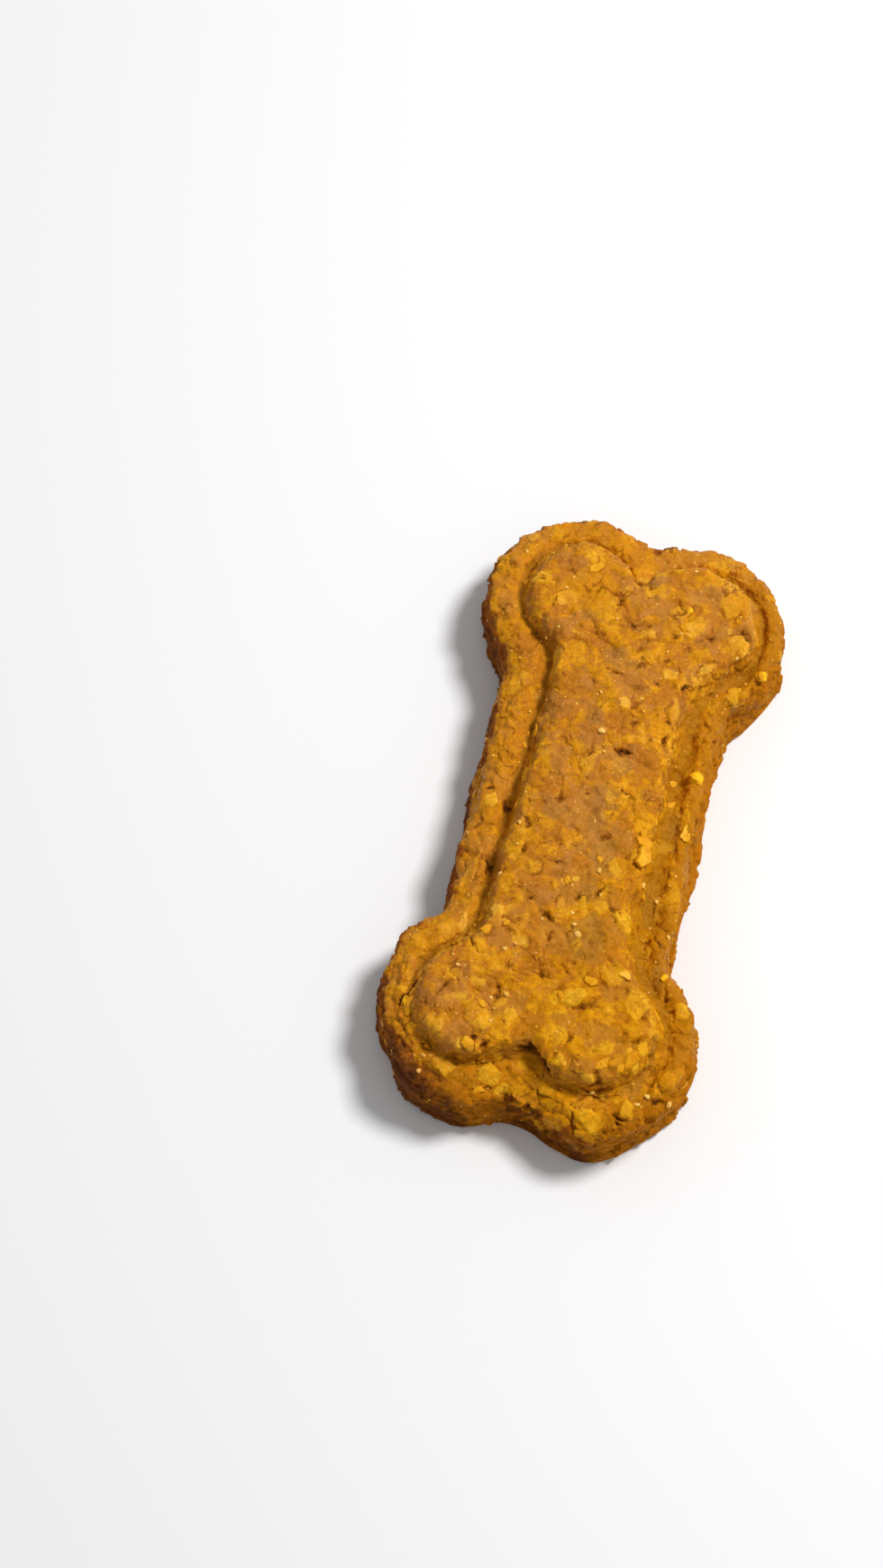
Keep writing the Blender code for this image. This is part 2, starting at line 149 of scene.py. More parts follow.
# Pits and cracks that it shows: pixel across and down, length, width, turn, depth
PITS = (
    (589, 996, 0.7, 0.45, -30, 0.5), (641, 996, 1.0, 0.55, 60, 0.7), (663, 990, 1.1, 0.6, 80, 0.6),
    (598, 1079, 1.3, 0.6, -42, 0.8), (631, 1081, 1.2, 0.5, -50, 0.6), (604, 1056, 1.0, 0.35, 75, 0.4),
    (553, 1107, 1.0, 0.5, 10, 0.6), (609, 1018, 1.1, 0.4, -55, 0.5), (493, 1096, 1.4, 0.35, 25, 0.4),
    (713, 961, 1.0, 0.5, -20, 0.6), (680, 1011, 0.8, 0.4, -80, 0.6), (720, 1047, 0.8, 0.6, 0, 0.6),
    (732, 1049, 1.0, 0.35, -75, 0.4), (740, 1033, 0.6, 0.4, -60, 0.4), (677, 1067, 0.8, 0.4, -40, 0.3),
    (649, 1116, 1.9, 0.35, 25, 0.4), (525, 1150, 0.9, 0.5, -70, 0.5), (536, 1160, 1.5, 0.7, -80, 0.8),
    (541, 1207, 0.8, 0.5, 0, 0.5), (560, 1219, 0.9, 0.4, -80, 0.6), (593, 1237, 2.6, 1.2, -70, 1.0),
    (633, 1246, 1.7, 0.6, -60, 0.9), (687, 1247, 1.7, 1.0, -60, 0.9), (631, 1153, 1.1, 0.4, 82, 0.6),
    (708, 1158, 0.9, 0.5, 0, 0.5), (665, 1205, 1.0, 0.5, 30, 0.5), (730, 1223, 1.5, 1.0, 30, 0.5),
    (709, 722, 0.8, 0.4, 80, 0.6), (711, 731, 0.8, 0.45, -15, 0.6), (710, 738, 0.8, 0.3, 80, 0.4),
    (788, 710, 0.8, 0.6, 30, 0.6), (749, 709, 0.7, 0.4, -10, 0.5), (740, 735, 0.8, 0.4, 20, 0.4),
    (758, 766, 1.0, 0.7, 80, 0.5), (825, 703, 1.0, 0.6, -30, 0.5), (746, 684, 1.0, 0.5, -30, 0.5),
    (698, 657, 1.5, 0.35, 20, 0.5), (691, 670, 2.2, 0.35, 82, 0.5), (660, 701, 1.2, 0.4, -45, 0.5),
    (846, 757, 0.9, 0.5, -20, 0.5), (704, 802, 0.7, 0.5, 0, 0.5), (737, 822, 1.2, 0.6, 80, 0.7),
    (689, 807, 0.6, 0.4, 0, 0.4), (657, 834, 1.0, 0.4, 20, 0.5), (670, 931, 1.2, 0.4, 40, 0.5),
    (620, 888, 0.7, 0.5, 0, 0.5), (585, 917, 0.7, 0.4, 30, 0.5), (652, 880, 0.7, 0.5, 0, 0.5),
    (581, 945, 0.8, 0.4, 60, 0.4), (600, 641, 0.6, 0.4, 0, 0.4), (709, 957, 1.9, 0.4, -35, 0.5),
    (607, 1016, 1.2, 0.4, -50, 0.5), (541, 873, 0.7, 0.5, 0, 0.5), (592, 1168, 2.8, 1.9, -40, 0.9),
    (602, 1180, 2.8, 2.0, -60, 0.9), (656, 1215, 3.2, 0.45, -8, 0.5), (668, 1213, 1.4, 0.4, 10, 0.4),
    (563, 893, 1.3, 0.9, 50, 0.3), (543, 958, 2.2, 0.9, 62, 0.3), (692, 832, 1.5, 0.9, -15, 0.6),
    (697, 882, 1.9, 0.45, -35, 0.6), (617, 957, 1.0, 0.6, -20, 0.25), (680, 744, 1.2, 0.5, -20, 0.5),
    # the last one on the next line is painted shade along the near-left groove
    (704, 697, 0.9, 0.5, 20, 0.4), (456, 1100, 3.2, 0.9, 62, 0.35),
)
# Drab patches that it shows, some of them painted shade along grooves: pixel across and down, length, width,
# turn
DRAB_AND_SHADE_PATCHES = (
    (691, 846, 3.4, 2.6, 70), (661, 796, 2.4, 2.0, 0), (670, 898, 7.0, 3.4, 80), (667, 950, 5.0, 3.0, 80),
    (650, 1040, 7.5, 4.0, 75), (652, 990, 3.0, 2.5, 0), (733, 646, 2.6, 1.6, 20), (722, 1000, 6.0, 1.6, 80),
    (745, 925, 5.0, 2.0, 78), (615, 895, 3.6, 3.0, 0), (684, 728, 3.4, 2.4, 30), (743, 940, 2.4, 1.8, 20),
    # these three are painted shade along the near-right lobe's groove
    (702, 1205, 3.4, 1.6, 30), (717, 1188, 3.4, 1.6, 55), (728, 1163, 3.6, 1.8, 75),
    (726, 1090, 5.0, 1.5, 75),
)
# Golden patches, some of them painted light on shaded slopes and walls, in the same way
GOLD_AND_PAINTED_LIGHT_PATCHES = (
    # these three are painted light on the near end's shaded wall and slope
    (600, 1250, 3.0, 2.4, 0), (604, 1216, 4.0, 2.4, -10), (582, 1229, 3.0, 1.6, 0),
    (730, 1204, 4.5, 2.4, 40), (814, 676, 4.0, 4.0, 0), (655, 655, 8.0, 6.0, 0), (735, 800, 4.5, 2.6, 75),
    (748, 700, 3.0, 3.0, 0),
)
# Pale crumbs that it shows: pixel across and down, size
CRUMBS = (
    (641, 1037, 0.85), (637, 1026, 0.6), (665, 967, 0.7), (712, 983, 0.65), (729, 1003, 0.6),
    (555, 970, 0.6), (533, 992, 0.5), (560, 1054, 0.55), (572, 1048, 0.4), (508, 1071, 0.6),
    (562, 1104, 0.7), (545, 1107, 0.55), (657, 1214, 0.75), (718, 1217, 0.65), (740, 1225, 0.85),
    (470, 1172, 0.6), (667, 768, 0.5), (712, 776, 0.45), (629, 652, 0.5), (620, 696, 0.4), (637, 641, 0.45),
    (685, 688, 0.4), (585, 612, 0.5), (588, 790, 0.45), (668, 812, 0.9), (660, 912, 0.4), (577, 913, 0.5),
    (550, 935, 0.45), (520, 925, 0.5), (635, 1012, 0.6), (707, 1226, 0.7), (465, 1189, 0.6),
    (773, 634, 0.5), (817, 731, 0.5), (631, 1136, 0.4), (742, 1041, 0.7),
)
# Bright yellow bits that it shows: pixel across and down, size
YELLOW_BITS = ((773, 864, 2.1), (845, 750, 1.6), (737, 1086, 0.9), (765, 677, 1.1), (452, 1112, 1.4))

# Marks strewn all over, besides those: how many, and their least and greatest length
STREWN_FLAKES = (110, 1.2, 2.8)
STREWN_PROUD_FLAKES = (40, 0.9, 2.0)
STREWN_PITS = (60, 0.3, 0.8)
# the smallest strewn crumbs partly stand for glints: painted highlights
STREWN_CRUMBS = (190, 0.15, 0.42)
STREWN_LEVEL = 0.85                    # they keep above this height, clear of the underside
FAR = 1.5                              # no distance to a flake or a pit is told beyond this one
LEAST_FACING = 0.3                     # least cosine between a mark's normal and that of a point in it
FLAKE_TILT = 0.08                      # how far a pressed flake's raised side stands above its middle
CRACKED_FLAKES = 0.35                  # share of the flakes that have a crack under that side
CREASE_DEPTH, CRACK_DEPTH = 0.02, 0.10  # of the crease round a flake, and of the crack besides
CREASE_PLACE, CREASE_WIDTH = 0.22, 0.16
FLAKE_FADE, PIT_FADE, PATCH_FADE = 0.3, 0.35, 1.6  # widths of the marks' soft edges

# A proud flake's section: share of the way out to its edge, and height
FLAKE_SECTION = ((1.0, -0.35), (1.0, 0.05), (0.90, 0.13), (0.60, 0.17), (0.25, 0.19))

Spot = namedtuple("Spot", "place normal along across")
Skin = namedtuple("Skin", "places normals warp out flake tone pit dip drab gold")


def smooth(t):
    """An even step from 0 to 1 as t goes from 0 to 1."""
    t = np.clip(t, 0.0, 1.0)
    return t * t * (3 - 2 * t)


def ramp(values, start, full):
    """An even step from 0 at start to 1 at full."""
    return smooth((values - start) / (full - start))


def clouds(places, size, octaves=1, shift=0.0):
    """Soft noise of that size at each place, about -0.6 to 0.6."""
    return np.array([noise.fractal(p / size + Vector((shift, 0, 0)), 1.0, 2.0, octaves) for p in places])


def camera_view():
    """The photograph's camera: its eye in millimetres, and its right, up and backward ways."""
    azimuth, elevation, roll = (math.radians(d) for d in (CAMERA_AZIMUTH, CAMERA_ELEVATION, CAMERA_ROLL))
    back = Vector((
        math.sin(azimuth) * math.cos(elevation),
        -math.cos(azimuth) * math.cos(elevation),
        math.sin(elevation),
    ))
    level = Vector((math.cos(azimuth), math.sin(azimuth), 0))
    upright = back.cross(level)
    right = math.cos(roll) * level + math.sin(roll) * upright
    up = math.cos(roll) * upright - math.sin(roll) * level
    aside = (AIM_PIXEL[0] - PHOTO_WIDTH / 2) / FOCAL_PIXELS * CAMERA_DISTANCE
    below = (AIM_PIXEL[1] - PHOTO_HEIGHT / 2) / FOCAL_PIXELS * CAMERA_DISTANCE
    eye = Vector((0, 0, AIM_HEIGHT)) + back * CAMERA_DISTANCE - right * aside + up * below
    return eye, right, up, back


def spot_on(place, normal, way):
    """A spot of the surface, with two ways in its plane, the first as near as can be to the way given."""
    along = (way - normal * way.dot(normal)).normalized()
    return Spot(place, normal, along, normal.cross(along))


def spot_seen(tree, across, down, turn):
    """The spot of the surface under a pixel of the photograph, turned that far from the picture's level."""
    eye, right, up, back = camera_view()
    ray = right * (across - PHOTO_WIDTH / 2) - up * (down - PHOTO_HEIGHT / 2) - back * FOCAL_PIXELS
    place, normal, _, _ = tree.ray_cast(eye, ray.normalized())
    turn = math.radians(turn)
    return spot_on(place, normal, right * math.cos(turn) + up * math.sin(turn))


def strewn_spot(skin, draw):
    """A random spot of the surface, clear of the underside."""
    while True:
        at = draw.randrange(len(skin.places))
        if skin.places[at, 2] > STREWN_LEVEL:
            way = Vector([draw.uniform(-1, 1) for _ in range(3)])
            return spot_on(Vector(skin.places[at]), Vector(skin.normals[at]), way)


def around(skin, spot, reach, warped):
    """The points within reach of a spot, and their distances along, across and out of its plane.

    The distances are made uneven by that share of the skin's warp.
    """
    near = np.flatnonzero((np.abs(skin.places - np.array(spot.place)) < reach).all(axis=1))
    near = near[skin.normals[near] @ np.array(spot.normal) > LEAST_FACING]
    apart = skin.places[near] - np.array(spot.place)
    rise = apart @ np.array(spot.normal)
    middle = np.argmin((apart ** 2).sum(axis=1))
    apart = apart + warped * (skin.warp[near] - skin.warp[near[middle]])
    return near, apart @ np.array(spot.along), apart @ np.array(spot.across), rise


def blot(along, across, length, width, draw, fewest=5, most=8):
    """Distance outside an angular oval's edge, less than 0 inside, and the share of the way out to it."""
    share = np.full(len(along), 0.1)
    sides = draw.randint(fewest, most)
    for side in range(sides):
        turn = (side + draw.uniform(-0.3, 0.3)) * 2 * math.pi / sides
        out = 2 * along / length * math.cos(turn) + 2 * across / width * math.sin(turn)
        share = np.maximum(share, out / draw.uniform(0.78, 1.02))
    return (share - 1) * min(length, width) / 2, share


def moved_spot(spot, length, width, share, turn, draw):
    """The spot moved at random by up to a share of that length and width, and turned by up to an angle."""
    lengthwise = draw.uniform(-share, share) * length
    widthwise = draw.uniform(-share, share) * width
    shift = lengthwise * spot.along + widthwise * spot.across
    way = Matrix.Rotation(draw.uniform(-turn, turn), 3, spot.normal) @ spot.along
    return spot_on(spot.place + shift, spot.normal, way)


def settled(tree, spot):
    """The spot moved along its normal onto the finished surface."""
    place, _, _, _ = tree.ray_cast(spot.place + 2 * spot.normal, -spot.normal)
    return spot._replace(place=place or spot.place)


def press_flake(skin, spot, length, width, lift, tone, draw):
    """Press a flake into the dough: a smooth low slab, raised on one side with a crack under it."""
    near, along, across, rise = around(skin, spot, max(length, width) / 2 + 1.2, 0.9)
    outside, share = blot(along, across, length, width, draw)
    inside = smooth(0.5 - outside / FLAKE_FADE)
    turn = draw.uniform(0, 2 * math.pi)
    aside = 2 * (along / length * math.cos(turn) + across / width * math.sin(turn))
    top = lift * (1 - 0.3 * share ** 2) + FLAKE_TILT * aside + draw.uniform(-0.05, 0.05) * across
    step = np.clip(top - rise - skin.out[near], -0.2, 0.3)
    cracked = smooth((aside - 0.3) / 0.4) * (draw.random() < CRACKED_FLAKES)
    crease = np.exp(-((outside - CREASE_PLACE) / CREASE_WIDTH) ** 2)
    skin.out[near] += 0.8 * inside * step - (CREASE_DEPTH + CRACK_DEPTH * cracked) * crease
    crack = np.where(cracked > 0.5, abs(outside - 0.16) - draw.uniform(-0.02, 0.08), 1.0)
    skin.pit[near] = np.minimum(skin.pit[near], crack)
    closer = near[outside < skin.flake[near]]
    skin.tone[closer] = tone + draw.uniform(-0.35, 0.35) * (along / length)[outside < skin.flake[near]]
    skin.flake[near] = np.minimum(skin.flake[near], outside)


def sink_pit(skin, spot, length, width, depth, draw):
    """Sink a ragged pit: two or three small angular holes that run into each other."""
    for _ in range(draw.randint(2, 3)):
        hole = moved_spot(spot, length, width, 0.3, 0.7, draw)
        near, along, across, _ = around(skin, hole, max(length, width) / 2 + 1.0, 0.6)
        long, wide = length * draw.uniform(0.6, 1.0), width * draw.uniform(0.4, 0.8)
        outside, _ = blot(along, across, long, wide, draw, 3, 5)
        dip = depth * draw.uniform(0.6, 1.0) * smooth(0.55 - outside / PIT_FADE)
        skin.out[near] -= np.clip(dip - skin.dip[near], 0, None)
        skin.dip[near] = np.maximum(skin.dip[near], dip)
        skin.pit[near] = np.minimum(skin.pit[near], outside)


def mark_patch(skin, marks, spot, length, width, draw):
    """Mark a patch that is soft at its edge."""
    near, along, across, _ = around(skin, spot, max(length, width) / 2 + 1.5, 1.0)
    outside, _ = blot(along, across, length, width, draw)
    marks[near] = np.maximum(marks[near], smooth(0.5 - outside / PATCH_FADE))


def crumb_cells(skin, size, step, slope, crease, draw):
    """Make the dough of crumbs of that size: step its relief, and give the tone of each point's crumb."""
    count = len(skin.places)
    seeds = draw.sample(range(count), int(count * VOXEL ** 2 / size ** 2))
    warped = skin.places + skin.warp
    tree = KDTree(len(seeds))
    for number, seed in enumerate(seeds):
        tree.insert(warped[seed], number)
    tree.balance()
    found = [tree.find_n(p, 2) for p in warped]
    mine = np.array([pair[0][1] for pair in found])
    edge = np.array([pair[1][2] - pair[0][2] for pair in found]) / 2
    tones = np.array([draw.random() for _ in seeds])
    steps = np.array([draw.uniform(-1, 1) for _ in seeds]) * 0.6 + (tones - 0.5) * 0.8
    slopes = np.array([[draw.uniform(-1, 1) for _ in range(3)] for _ in seeds])
    leaning = ((skin.places - skin.places[np.array(seeds)[mine]]) * slopes[mine]).sum(axis=1)
    creased = np.array([draw.random() < CREASED_CRUMBS for _ in seeds])[mine]
    skin.out[:] += step * steps[mine] + slope * leaning
    skin.out[:] -= crease * creased * np.exp(-(edge / CRUMB_CREASE) ** 2)
    return tones[mine]


def inward_distance(places):
    """How far in from the foot's outline each point is, seen from above."""
    foot = places[(places[:, 2] > UNDERSIDE_LEVEL) & (places[:, 2] < UNDERSIDE_LEVEL + 1.0)]
    tree = KDTree(len(foot))
    for number, (x, y, _) in enumerate(foot):
        tree.insert((x, y, 0), number)
    tree.balance()
    return np.array([tree.find((x, y, 0))[2] for x, y, _ in places])


def points_of(mesh):
    """A mesh's points and their normals, as arrays."""
    places = np.empty(len(mesh.vertices) * 3)
    mesh.vertices.foreach_get("co", places)
    normals = np.empty(len(mesh.vertices) * 3)
    mesh.vertex_normals.foreach_get("vector", normals)
    return places.reshape(-1, 3), normals.reshape(-1, 3)


def fine_mesh():
    """The CAD biscuit's form as an even fine mesh, in millimetres."""
    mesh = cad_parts["biscuit"].data.copy()
    mesh.transform(Matrix.Scale(1 / MM, 4))
    work = bmesh.new()
    work.from_mesh(mesh)
    bmesh.ops.remove_doubles(work, verts=work.verts, dist=WELD)
    work.to_mesh(mesh)
    work.free()
    coarse = bpy.data.objects.new("coarse", mesh)
    bpy.context.scene.collection.objects.link(coarse)
    rounded = coarse.modifiers.new("rounded", "SUBSURF")
    rounded.levels = rounded.render_levels = 2
    even = coarse.modifiers.new("even", "REMESH")
    even.mode = "VOXEL"
    even.voxel_size = VOXEL
    relaxed = coarse.modifiers.new("relaxed", "SMOOTH")
    relaxed.iterations = 2
    graph = bpy.context.evaluated_depsgraph_get()
    fine = bpy.data.meshes.new_from_object(coarse.evaluated_get(graph))
    bpy.data.objects.remove(coarse)
    return fine


def nearness(places):
    """A step from 0 to 1 towards the near end, where the groove is shallow."""
    return ramp(places[:, 1], SHALLOW_START, SHALLOW_FULL)


def soften(mesh):
    """Round the raised bone's edge and groove, more to the right, and fill the groove at the near end."""
    places, _ = points_of(mesh)
    upper = smooth((places[:, 2] - WALL_LEVEL + TOP_START) / TOP_FADE)
    share = upper * (LEAST_SOFT + (1 - LEAST_SOFT) * ramp(places[:, 0], SOFT_LEFT, SOFT_RIGHT))
    crisp = bpy.data.objects.new("crisp", mesh)
    bpy.context.scene.collection.objects.link(crisp)
    group = crisp.vertex_groups.new(name="soft")
    for step in range(1, 11):
        group.add(np.flatnonzero(np.ceil(share * 10) == step).tolist(), step / 10, "REPLACE")
    softer = crisp.modifiers.new("softer", "SMOOTH")
    softer.iterations = SOFTENING
    softer.vertex_group = group.name
    graph = bpy.context.evaluated_depsgraph_get()
    soft = bpy.data.meshes.new_from_object(crisp.evaluated_get(graph))
    bpy.data.objects.remove(crisp)
    places, normals = points_of(soft)
    hollow = np.clip(hollowness(soft, places, normals, GROOVE_PASSES), 0, None)
    places = places + normals * (SHALLOW_FILL * hollow * nearness(places) * upper)[:, None]
    soft.vertices.foreach_set("co", places.ravel())
    soft.update()
    return soft


def hollowness(mesh, places, normals, passes):
    """How far each point lies in a hollow, in millimetres, less than 0 where it stands out."""
    edges = np.empty(len(mesh.edges) * 2, dtype=int)
    mesh.edges.foreach_get("vertices", edges)
    one, other = edges.reshape(-1, 2).T
    points = len(places)
    count = np.bincount(one, minlength=points) + np.bincount(other, minlength=points)
    even = places.copy()
    for _ in range(passes):
        for axis in range(3):
            total = np.bincount(one, even[other, axis], points) + np.bincount(other, even[one, axis], points)
            even[:, axis] = 0.5 * even[:, axis] + 0.5 * total / count
    return ((even - places) * normals).sum(axis=1)


def thin_out(mesh, spare):
    """The mesh as an object with fewer triangles, most of them taken from the points that can be spared."""
    thick = bpy.data.objects.new("thick", mesh)
    bpy.context.scene.collection.objects.link(thick)
    group = thick.vertex_groups.new(name="spare")
    group.add(np.flatnonzero(spare).tolist(), 1.0, "REPLACE")
    spared = thick.modifiers.new("spared", "DECIMATE")
    spared.ratio = 1 - UNDERSIDE_SPARED * spare.mean()
    spared.vertex_group = group.name
    thinner = thick.modifiers.new("thinner", "DECIMATE")
    thinner.ratio = MOST_TRIANGLES / (spared.ratio * sum(len(p.vertices) - 2 for p in mesh.polygons))
    graph = bpy.context.evaluated_depsgraph_get()
    thin = bpy.data.meshes.new_from_object(thick.evaluated_get(graph))
    bpy.data.objects.remove(thick)
    thing = bpy.data.objects.new(mesh.name, thin)
    bpy.context.scene.collection.objects.link(thing)
    return thing


def set_attribute(mesh, name, values):
    """Give the mesh a value at each point, for its material to read."""
    mesh.attributes.new(name, "FLOAT", "POINT").data.foreach_set("value", values.astype(np.float32))


def roughen(skin, vectors, wall, draw):
    """Give the dough its crumbs, lumps and pressed wall, and give the tone of each point's crumbs."""
    patches = [crumb_cells(skin, *layer, draw) for layer in CRUMB_LAYERS]
    for layer, (size, depth) in enumerate(RELIEF):
        skin.out[:] += depth * clouds(vectors, size, shift=20.0 * layer)
    skin.out[:] *= 1 + (WALL_RELIEF - 1) * wall
    long, thick, depth = LAYERS
    layered = [Vector((p.x / long, p.y / long, p.z / thick)) for p in vectors]
    skin.out[:] += depth * wall * clouds(layered, 1.0)
    return 0.5 * patches[0] + 0.5 * patches[1]


def press_marks(skin, tree, draw):
    """Press the flakes into the dough, sink its pits, and mark its drab and golden patches, some of them
    painted shade and painted light.
    """
    count, least, most = STREWN_FLAKES
    for _ in range(count):
        length = draw.uniform(least, most)
        spot = strewn_spot(skin, draw)
        width, lift = length * draw.uniform(0.45, 0.9), draw.uniform(0.02, 0.12)
        press_flake(skin, spot, length, width, lift, draw.uniform(0, 0.7), draw)
    for across, down, length, width, turn, tone in FLAKES:
        spot = spot_seen(tree, across, down, turn)
        press_flake(skin, spot, length, width, 0.12 + 0.12 * tone, tone, draw)

    count, least, most = STREWN_PITS
    for _ in range(count):
        length = draw.uniform(least, most)
        spot = strewn_spot(skin, draw)
        width = length * draw.uniform(0.3, 0.6)
        sink_pit(skin, spot, length, width, draw.uniform(0.15, 0.4), draw)
    for across, down, length, width, turn, depth in PITS:
        sink_pit(skin, spot_seen(tree, across, down, turn), length, width, depth, draw)

    for marks, patches in ((skin.drab, DRAB_AND_SHADE_PATCHES), (skin.gold, GOLD_AND_PAINTED_LIGHT_PATCHES)):
        for across, down, length, width, turn in patches:
            mark_patch(skin, marks, spot_seen(tree, across, down, turn), length, width, draw)


def make_dough():
    """The baked dough, with all that is pressed into it."""
    draw = random.Random(SEED)
    noise.seed_set(SEED)               # without it noise_vector starts from the clock
    mesh = soften(fine_mesh())
    mesh.name = "dough"
    places, normals = points_of(mesh)
    tree = BVHTree.FromPolygons([Vector(p) for p in places], [p.vertices for p in mesh.polygons])
    vectors = [Vector(p) for p in places]
    inward = inward_distance(places)
    near_end = ramp(places[:, 1], *NEAR_END) * ramp(places[:, 0], *NEAR_LEFT)
    size, reach = WALL_WAVES
    waves = reach * clouds(vectors, size, 2, 70.0)
    wall = smooth((WALL_WIDTH + NEAR_WALL * near_end + waves - inward) / WALL_FADE)
    flange = smooth((FLANGE_LEVEL - places[:, 2]) / FLANGE_FADE) * (1 - wall)
    rim = ramp(places[:, 0], RIM_START, RIM_FULL) * smooth((RIM_WIDTH - inward) / RIM_FADE)
    warp = sum(reach * np.array([noise.noise_vector(p / size) for p in vectors]) for size, reach in WARP)

    out, tone, dip, drab, gold = np.zeros((5, len(places)))
    flake, pit = np.full((2, len(places)), FAR)
    skin = Skin(places, normals, warp, out, flake, tone, pit, dip, drab, gold)
    patch = roughen(skin, vectors, wall, draw)
    press_marks(skin, tree, draw)
    np.clip(out, MOST_SUNK, MOST_RAISED, out=out)
    out *= smooth((places[:, 2] - UNDERSIDE_LEVEL) / FOOT_FADE)
    rough_places = places + normals * out[:, None]
    mesh.vertices.foreach_set("co", (rough_places * MM).ravel())
    mesh.update()

    under = smooth((UNDERSIDE_LEVEL - places[:, 2]) / UNDERSIDE_FADE)
    groove = hollowness(mesh, places, normals, GROOVE_PASSES)
    attributes = {
        "flake": flake,
        "tone": tone,
        "pit": pit,
        "drab": drab,
        "gold": gold,
        "warm": ramp(places[:, 0] + WARM_TURN * places[:, 1], WARM_LEFT, WARM_RIGHT),
        "wall": np.maximum(wall, under),
        # painted light: the wall is paler where it faces the lamp's side
        "right": smooth((normals @ np.array(PAINTED_LIGHT_WAY) + 0.1) / 0.8),
        # darker towards the foot, and at the near left end partly with painted shade
        "low": (1 - places[:, 2] / WALL_LEVEL) * (1 - under) + NEAR_BROWNING_AND_SHADE * near_end,
        "flange": flange,
        # the toasted rim, and the near end's flange, darker there partly with painted shade
        "toast": np.maximum(rim, near_end * flange),
        "patch": patch,
        # small hollows, for the painted shade in them
        "hollow": hollowness(mesh, rough_places, normals, HOLLOW_PASSES),
        # grooves, for their olive colour, which is partly painted shade
        "groove": groove * (1 - SHALLOW_PALER * nearness(places)),
    }
    for name, values in attributes.items():
        set_attribute(mesh, name, values)
    dough = thin_out(mesh, places[:, 2] < UNDERSIDE_LEVEL / 2)
    dough.data.shade_smooth()
    dough.data.materials.clear()
    dough.data.materials.append(dough_material())
    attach(dough, "root")
    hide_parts("biscuit")
    return dough, tree, skin


def mesh_piece(name, work, tones, material):
    """Add a piece to the scene from a bmesh in millimetres, with a tone at each of its points."""
    mesh = bpy.data.meshes.new(name)
    work.to_mesh(mesh)
    work.free()
    mesh.transform(Matrix.Scale(MM, 4))
    set_attribute(mesh, "tone", np.array(tones))
    mesh.materials.append(material)
    piece = bpy.data.objects.new(name, mesh)
    bpy.context.scene.collection.objects.link(piece)
    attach(piece, "root")


def add_cluster(work, tones, spot, length, width, tone, draw):
    """Add a broken proud flake: a slab, and smaller ones that lean against it."""
    add_flake(work, tones, spot, length, width, tone, 0.10, draw)
    for _ in range(draw.randint(1, 3)):
        piece = moved_spot(spot, length, width, 0.35, 1.2, draw)
        share = draw.uniform(0.4, 0.7)
        long, wide = length * share, max(width, 0.6 * length) * share
        add_flake(work, tones, piece, long, wide, tone + draw.uniform(-0.3, 0.1), 0.18, draw)


def add_flake(work, tones, spot, length, width, tone, most_lean, draw):
    """Add a proud flake: an angular, slightly bent slab let into the dough, leaning by up to that much."""
    corners = draw.randint(5, 7)
    outline = []
    for corner in range(corners):
        turn = (corner + draw.uniform(-0.4, 0.4)) * 2 * math.pi / corners
        out = draw.uniform(0.42, 0.64)
        outline.append((out * length * math.cos(turn), out * width * math.sin(turn)))
    tilt, lean, bend = (draw.uniform(-most_lean, most_lean) for _ in range(3))
    rings = []
    for share, height in FLAKE_SECTION:
        ring = []
        for x, y in outline:
            x, y = x * share, y * share
            rise = height + tilt * x + lean * y + bend * x * x / length
            ring.append(work.verts.new(spot.place + x * spot.along + y * spot.across + rise * spot.normal))
            tones.append(tone + draw.uniform(-0.45, 0.15) - 0.5 * (share > 0.95))
        rings.append(ring)
    for lower, upper in zip(rings, rings[1:]):
        for corner in range(corners):
            after = (corner + 1) % corners
            work.faces.new((lower[corner], lower[after], upper[after], upper[corner]))
    top = work.verts.new(spot.place + (FLAKE_SECTION[-1][1] + draw.uniform(-0.03, 0.10)) * spot.normal)
    tones.append(tone)
    for corner in range(corners):
        work.faces.new((rings[-1][corner], rings[-1][(corner + 1) % corners], top))
    work.faces.new(rings[0][::-1])


def add_lump(work, tones, spot, size, tone, draw):
    """Add a small uneven lump that is half sunk in the dough."""
    before = len(work.verts)
    bmesh.ops.create_icosphere(work, subdivisions=2, radius=0.5)
    work.verts.ensure_lookup_table()
    wide, high = draw.uniform(0.7, 0.95), draw.uniform(0.5, 0.8)
    shift = Vector([draw.uniform(-99, 99) for _ in range(3)])
    for vertex in work.verts[before:]:
        out = size * (1 + 0.5 * noise.noise(vertex.co * 2.5 + shift))
        x, y, z = vertex.co.x * out, vertex.co.y * out * wide, vertex.co.z * out * high
        vertex.co = spot.place + x * spot.along + y * spot.across + (z + 0.1 * size) * spot.normal
        tones.append(tone)


